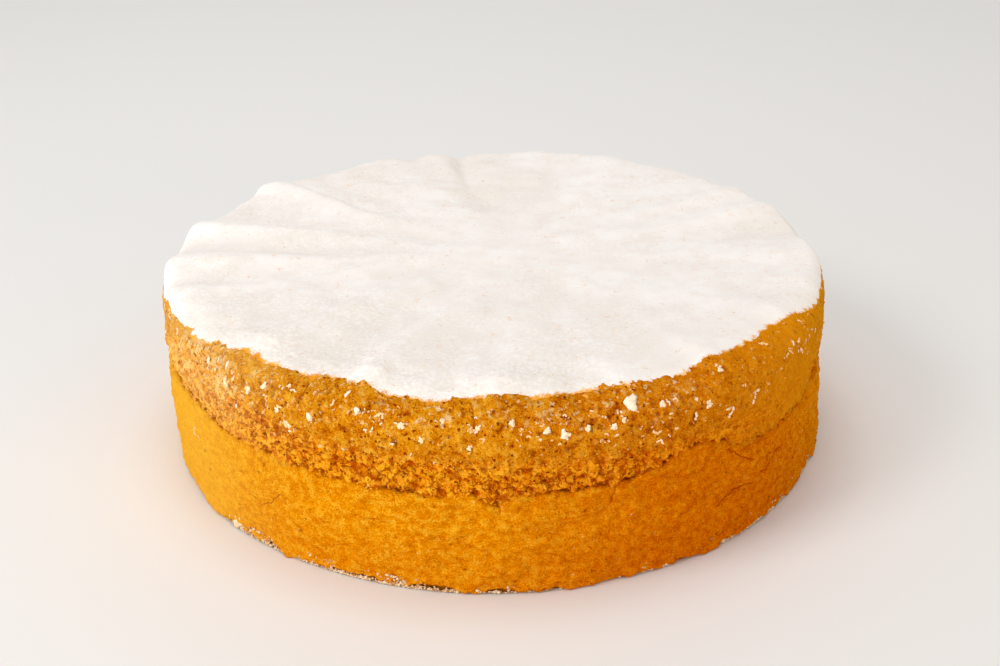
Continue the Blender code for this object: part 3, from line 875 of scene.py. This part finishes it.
def lumps_piece(name, centres, outward, sizes, lean):
    """Small uneven balls, joined: two rings of five points and two poles, each point pushed by chance.

    centres and outward are points and normals; sizes are half-lengths along a lump, across it and
    outwards; lean turns the lump about its normal.
    """
    polar = np.array([[1.05], [2.1]])
    azimuth = np.arange(5) * math.pi * 2 / 5 + np.array([[0], [math.pi / 5]])
    x, y = np.sin(polar) * np.cos(azimuth), np.sin(polar) * np.sin(azimuth)
    ball = np.stack([x, y, np.cos(polar) + 0 * azimuth], axis=-1).reshape(-1, 3)
    ball = np.concatenate([ball, [[0, 0, 1], [0, 0, -1]]])
    uneven = ball * draw.uniform(0.65, 1.25, (len(centres), len(ball), 1)) * sizes[:, None, :]
    level = np.cross([0, 0, 1.0], outward)
    level /= np.linalg.norm(level, axis=1, keepdims=True)
    rise = np.cross(outward, level)
    cosine, sine = np.cos(lean)[:, None], np.sin(lean)[:, None]
    axes = np.stack([cosine * level + sine * rise, cosine * rise - sine * level, outward], axis=1)
    points = np.einsum("nkj,nji->nki", uneven, axes) + centres[:, None, :]
    upper = np.arange(5)
    after = (upper + 1) % 5
    faces = np.concatenate([np.stack(corners, axis=1) for corners in (
        (upper, after, np.full(5, 10)), (upper, upper + 5, after),
        (after, upper + 5, after + 5), (after + 5, upper + 5, np.full(5, 11)),
    )])  # fmt: skip
    shift = (np.arange(len(centres)) * len(ball))[:, None, None]
    return mesh_piece(name, points.reshape(-1, 3), [(faces[None] + shift).reshape(-1, 3)])


def stretched(size, least, most, flat):
    """Half-lengths of lumps: along, stretched by chance from least to most, across, and flat outwards."""
    return np.stack([size * draw.uniform(least, most, len(size)), size, size * flat], axis=1)


def on_crumb(along, bearing):
    """Points on the crumb with its relief, and the plain surface's normals."""
    points, normal = with_normals(sponge_point, along, bearing)
    return points + normal * crumb_relief(points)[0][:, None], normal


def keep(chance):
    """Which of the drawn places stay, by a chance for each: none at 0 or less, all at 1 or more."""
    return draw.uniform(0, 1, len(chance)) < chance


tries = 4200  # places drawn for strokes of powder, most of which don't stay
stroke_bearing = draw.uniform(-math.pi, math.pi, tries)
stroke_along = SIDE_START + draw.uniform(-17, 15, tries) * MM
stroke_places = sponge_point(stroke_along, stroke_bearing)
drift = 0.5 + 0.5 * clouds(stroke_places, 8 * MM, 101)
level = bump(stroke_along, SIDE_START - 5 * MM, (8 + 5 * near(-142, 20, stroke_bearing)) * MM)
thick = 0.32 + 0.75 * near(-106, 32, stroke_bearing) + 0.45 * near(-55, 10, stroke_bearing)
thick += 0.5 * near(60, 60, stroke_bearing)
past_sugar = smooth_step(0, 2 * MM, stroke_along - sugar_reach(stroke_bearing))
stay = keep(level * thick * past_sugar * drift**3 * 2.6)
strokes = stay.sum()
LUMPS_IN_STROKE = 9
each = (strokes, LUMPS_IN_STROKE)
stroke_lean = draw.normal(0.3, 0.9, (strokes, 1)) + draw.normal(0, 0.9, each).cumsum(axis=1)
stroke_size = (0.14 + 0.42 * draw.uniform(0, 1, (strokes, 1)) ** 2.5) * draw.uniform(0.6, 1.3, each) * MM
steps = stroke_size * draw.uniform(0.5, 1.3, (strokes, 1))
fleck_bearing = stroke_bearing[stay][:, None] + (steps * np.cos(stroke_lean)).cumsum(axis=1) / CAKE_RADIUS
fleck_along = stroke_along[stay][:, None] - (steps * np.sin(stroke_lean)).cumsum(axis=1)
kept = draw.uniform(0, 1, each) < draw.uniform(0.3, 1, (strokes, 1))
# larger clumps: bearing in degrees, distance above the shoulder's foot and half-width in millimetres
CLUMPS = np.array([
    (-70, 9.5, 2.2), (-83, 4.5, 1.3), (-80.5, 2.5, 1.5), (-77, 4.5, 1.0), (-118.5, 2, 1.4), (-124, 12, 1.0),
    (-57, 2, 1.2), (-59, 5.5, 1.0), (-104, 5.5, 1.0), (-101, 1, 0.9), (-94, -1, 0.8), (-131, 4, 1.3),
    (-136, 1.5, 1.5), (-53, 12, 1.2), (-65, 7, 1.0), (-142, 6, 1.4), (-128, 8, 1.1), (-88, 7.5, 1.0),
    (-111, 7, 1.0), (-98, 9, 1.0), (-73, 3, 0.9), (20, 6, 1.3), (48, 2, 1.2), (77, 7, 1.5),
    (101, 3, 1.2), (126, 8, 1.4), (152, 2, 1.1), (176, 6, 1.3),
])  # fmt: skip
LUMPS_IN_CLUMP = 22
spread = draw.normal(0, 0.36, (2, len(CLUMPS), LUMPS_IN_CLUMP)) * CLUMPS[:, 2:] * MM
clump_bearing = np.radians(CLUMPS[:, :1]) + spread[0] / CAKE_RADIUS
clump_along = SIDE_START - CLUMPS[:, 1:2] * MM + spread[1] * 1.2
clump_size = (0.12 + 0.3 * CLUMPS[:, 2:]) * draw.uniform(0.4, 1.5, clump_bearing.shape) * MM
clump_size[0] = draw.uniform(0.9, 1.5, LUMPS_IN_CLUMP) * MM  # the largest is pressed into one lump
all_along = np.concatenate([fleck_along[kept], clump_along.ravel()])
fleck_points, normal = on_crumb(all_along, np.concatenate([fleck_bearing[kept], clump_bearing.ravel()]))
fleck_size = np.concatenate([stroke_size[kept], clump_size.ravel()])
fleck_lean = np.concatenate([stroke_lean[kept], draw.uniform(0, 3, clump_size.size)])
fleck_sizes = stretched(fleck_size, 1.0, 1.7, 0.5)
flecks = lumps_piece("sugar_flecks", fleck_points + normal * 0.08 * MM, normal, fleck_sizes, fleck_lean)
clump_tone = draw.uniform(0.35, 0.9, len(CLUMPS))
clump_tone[0] = 1
stroke_tone = np.repeat(draw.uniform(0, 0.75, strokes), kept.sum(axis=1))
tone = np.concatenate([stroke_tone, np.repeat(clump_tone, LUMPS_IN_CLUMP)])
store(flecks, "tone", np.repeat(np.clip(tone + draw.normal(0, 0.15, len(tone)), 0, 1), LUMP_POINTS))

fleck_material, tree, shader, where = new_material("loose_sugar")
finish_look(shader, mixed(read(tree, "tone"), (0.96, 0.56, 0.2), (0.96, 0.82, 0.66)))
flecks.data.materials.append(fleck_material)
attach(flecks, "root")


# -------------------- loose crumbs of the open crumb
# Torn bubble walls and bits of crumb that still cling to the rough side.

tries = 22000  # places drawn for crumbs
tuft_bearing = draw.uniform(-math.pi, math.pi, tries)
tuft_along = SIDE_START + draw.uniform(-14, 24, tries) * MM
tuft_places = sponge_point(tuft_along, tuft_bearing)
chance = open_crumb(tuft_bearing, tuft_places[:, 2]) * 0.66 + 0.05
stay = keep(chance * calmness(tuft_bearing))
tuft_points, normal = on_crumb(tuft_along[stay], tuft_bearing[stay])
tuft_count = len(tuft_points)
tuft_size = (0.24 + 0.5 * draw.uniform(0, 1, tuft_count) ** 2) * MM
tuft_sizes = stretched(tuft_size, 0.9, 1.6, 0.8)
tufts = lumps_piece("clinging_crumbs", tuft_points, normal, tuft_sizes, draw.uniform(0, 6.3, tuft_count))
store(tufts, "pit", np.zeros(tuft_count * LUMP_POINTS))
store(tufts, "open", np.ones(tuft_count * LUMP_POINTS))
store(tufts, "crag", np.repeat(draw.uniform(0, 0.8, tuft_count), LUMP_POINTS))
mark_piece(tufts)
tufts.data.materials.append(crumb_material)
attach(tufts, "root")


# -------------------- flour at the foot
# Flour and lining crumbs that stuck to the bottom edge when the cake was turned out.

tries = 8000  # places drawn for grains of flour
foot_bearing = draw.uniform(-math.pi, math.pi, tries)
foot_height = draw.uniform(0, 1, tries) ** 2 * 4.2 * MM + 0.5 * MM
much = 0.55 + 0.8 * clouds(on_rim(foot_bearing), 11 * MM, 111)
for degrees, spread in ((-106, 7), (-122, 10)):
    much += 0.5 * near(degrees, spread, foot_bearing)
stay = keep(np.maximum(much * np.where(foot_height < 1.6 * MM, 1, 0.3), 0.03))
foot_bearing, foot_height = foot_bearing[stay], foot_height[stay]
foot_points = place(side_radius(foot_height) + 0.45 * MM, foot_bearing, foot_height)
foot_count = len(foot_points)
foot_size = (0.24 + 0.45 * draw.uniform(0, 1, foot_count) ** 2) * MM
HEAPED = 26  # lumps in the one heap left of the front
heap_bearing = np.radians(draw.normal(-137, 0.7, HEAPED))
heap_height = np.clip(draw.normal(3.0, 1.2, HEAPED), 0.9, 5.5) * MM
heap_points = place(side_radius(heap_height) + 0.8 * MM, heap_bearing, heap_height)
foot_points = np.concatenate([foot_points, heap_points])
foot_size = np.concatenate([foot_size, draw.uniform(0.6, 1.1, HEAPED) * MM])
normal = on_rim(np.concatenate([foot_bearing, heap_bearing])) / CAKE_RADIUS
foot_size = np.minimum(foot_size, foot_points[:, 2] / 1.3)  # so that none reaches below the base
foot_sizes = stretched(foot_size, 0.8, 1.5, 0.8)
floured = lumps_piece("foot_flour", foot_points, normal, foot_sizes, draw.normal(0, 0.2, len(foot_points)))
tone = np.concatenate([draw.uniform(0, 1, foot_count) ** 0.7, draw.uniform(0.7, 1, HEAPED)])
store(floured, "tone", np.repeat(tone, LUMP_POINTS))

flour_material, tree, shader, where = new_material("flour")
finish_look(shader, mixed(read(tree, "tone"), (0.42, 0.15, 0.015), (0.86, 0.7, 0.48)))
floured.data.materials.append(flour_material)
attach(floured, "root")


# -------------------- floor, lights and camera
# A plain pale floor in a soft pale room. A broad light overhead, a window-like one at the left, a long low
# one in front for the light off a pale table, a warm one low at the right and one for the floor behind. The
# camera stands about 0.6 m off, looking down at the cake.

FLOOR_REACH = 8.0
floor_corners = np.array([[-1, -1, 0], [1, -1, 0], [1, 1, 0], [-1, 1, 0]]) * FLOOR_REACH
floor = mesh_piece("floor", floor_corners, [np.array([[0, 1, 2, 3]])], smooth=False)
floor_material, tree, shader, where = new_material("pale_floor", 0.9)
shader.inputs["Base Color"].default_value = (0.82, 0.81, 0.8, 1.0)
floor.data.materials.append(floor_material)

world = bpy.data.worlds.new("pale_room")
world.use_nodes = True
room = world.node_tree.nodes["Background"]
room.inputs["Color"].default_value = (1.0, 0.995, 0.985, 1.0)
room.inputs["Strength"].default_value = 0.46
bpy.context.scene.world = world


def area_light(name, position, aim, width, height, watts, colour):
    """A soft light, a rectangle at a position, turned towards a point."""
    lamp = bpy.data.lights.new(name, "AREA")
    lamp.shape, lamp.size, lamp.size_y = "RECTANGLE", width, height
    lamp.energy, lamp.color = watts, colour
    holder = bpy.data.objects.new(name, lamp)
    holder.location = position
    holder.rotation_euler = (Vector(aim) - Vector(position)).to_track_quat("-Z", "Y").to_euler()
    bpy.context.scene.collection.objects.link(holder)


area_light("ceiling", (-0.1, 0.05, 1.7), (0, 0, 0.03), 1.0, 1.0, 9.5, (1.0, 0.995, 0.985))
area_light("window", (-1.00, -0.55, 1.05), (0, 0, 0.03), 0.5, 0.5, 6.5, (1.0, 0.985, 0.95))
area_light("pale_table", (-0.72, -0.7, 0.046), (0, 0, 0.046), 0.9, 0.08, 4.8, (1.0, 0.985, 0.93))
area_light("behind", (0.0, 1.35, 1.3), (0, 1.1, 0), 1.6, 0.6, 3, (1.0, 0.995, 0.985))
area_light("bounce", (1.2, -1.3, 0.25), (0, 0, 0.03), 0.8, 0.8, 9.5, (1.0, 0.85, 0.6))

CAMERA_PLACE = (-1.54 * MM, -503.5 * MM, 285.3 * MM)
CAMERA_PITCH, CAMERA_YAW, CAMERA_ROLL = math.radians(26.545), math.radians(0.4), math.radians(-0.755)
camera = bpy.data.cameras.new("camera")
camera.sensor_width = 36.0
camera.lens = 49.34
camera.clip_start = 0.01
viewer = bpy.data.objects.new("camera", camera)
viewer.location = CAMERA_PLACE
turned = Matrix.Rotation(-CAMERA_YAW, 3, "Z") @ Matrix.Rotation(math.pi / 2 - CAMERA_PITCH, 3, "X")
viewer.rotation_euler = (turned @ Matrix.Rotation(CAMERA_ROLL, 3, "Z")).to_euler()
bpy.context.scene.collection.objects.link(viewer)
bpy.context.scene.camera = viewer
bpy.context.scene.view_settings.view_transform = "Standard"
